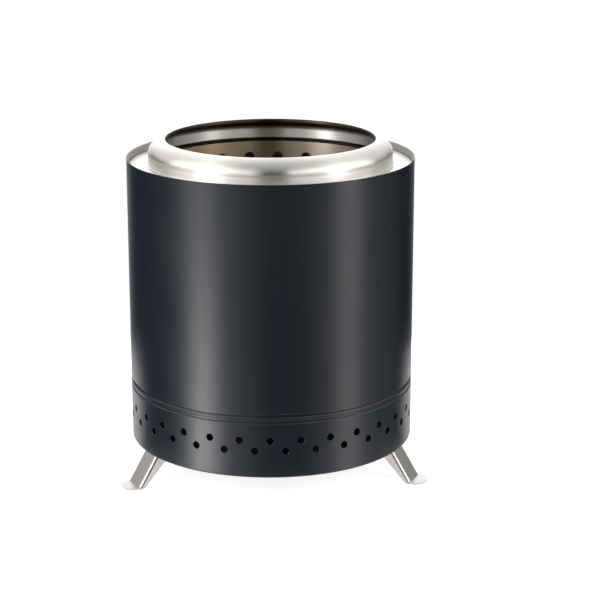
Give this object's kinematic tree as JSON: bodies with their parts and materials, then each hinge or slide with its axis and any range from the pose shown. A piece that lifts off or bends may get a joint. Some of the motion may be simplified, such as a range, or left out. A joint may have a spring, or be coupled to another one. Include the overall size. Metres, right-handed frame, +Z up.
{
  "type": "smokeless fire pit",
  "caption": "Table-top smokeless fire pit: a double-walled drum with vents in its base band, air holes in its burn chamber, a lift-off flame ring and grate, and folding legs.",
  "frame": {"origin": "on the drum's axis, at the middle of the base plate's underside; the feet stand 32.9 mm lower", "axes": "+Z up along the drum's axis; -Y towards the front, between the two front legs; +X to the right; the rear leg is on +Y"},
  "size_m": [0.193, 0.1978, 0.2121],
  "materials": {
    "black_coating": "satin high-temperature coating, near black with a slight blue tint, on sheet steel",
    "satin_stainless": "bright satin stainless steel, spun",
    "heated_stainless": "stainless steel, slightly straw-toned by heat",
    "plate_steel": "plain rolled stainless sheet",
    "leg_stainless": "pressed stainless sheet, satin"
  },
  "bodies": {
    "drum": {"outer_shell": "black_coating", "base_band": "black_coating", "deck_ring": "satin_stainless", "burn_chamber": "heated_stainless", "chamber_floor": "heated_stainless", "base_plate": "black_coating", "leg_bracket_front_left": "plate_steel", "leg_bracket_front_right": "plate_steel", "leg_bracket_rear": "plate_steel", "leg_pin_front_left": "leg_stainless", "leg_pin_front_right": "leg_stainless", "leg_pin_rear": "leg_stainless", "bracket_rivet_front_left_1": "leg_stainless", "bracket_rivet_front_left_2": "leg_stainless", "bracket_rivet_front_right_1": "leg_stainless", "bracket_rivet_front_right_2": "leg_stainless", "bracket_rivet_rear_1": "leg_stainless", "bracket_rivet_rear_2": "leg_stainless"},
    "ring": {"flame_ring": "satin_stainless"},
    "pan": {"ash_pan": "plate_steel"},
    "grate": {"fuel_grate": "heated_stainless"},
    "front_left_leg": {"leg_front_left": "leg_stainless"},
    "front_right_leg": {"leg_front_right": "leg_stainless"},
    "rear_leg": {"leg_rear": "leg_stainless"}
  },
  "joints": [
    {"name": "ring_lift", "type": "slide", "parent": "drum", "child": "ring", "axis": [0, 0, 1], "range_m": [0, 0.06]},
    {"name": "pan_lift", "type": "slide", "parent": "drum", "child": "pan", "axis": [0, 0, 1], "range_m": [0, 0.185]},
    {"name": "grate_lift", "type": "slide", "parent": "pan", "child": "grate", "axis": [0, 0, 1], "range_m": [0, 0.16]},
    {"name": "front_left_leg_fold", "type": "hinge", "parent": "drum", "child": "front_left_leg", "pos_m": [-0.06979, -0.03711, -0.0078], "axis": [0.4695, -0.8829, 0], "range_deg": [0, 122]},
    {"name": "front_right_leg_fold", "type": "hinge", "parent": "drum", "child": "front_right_leg", "pos_m": [0.06979, -0.03711, -0.0078], "axis": [0.4695, 0.8829, 0], "range_deg": [0, 122]},
    {"name": "rear_leg_fold", "type": "hinge", "parent": "drum", "child": "rear_leg", "pos_m": [0, 0.07904, -0.0078], "axis": [-1, 0, 0], "range_deg": [0, 122]}
  ]
}
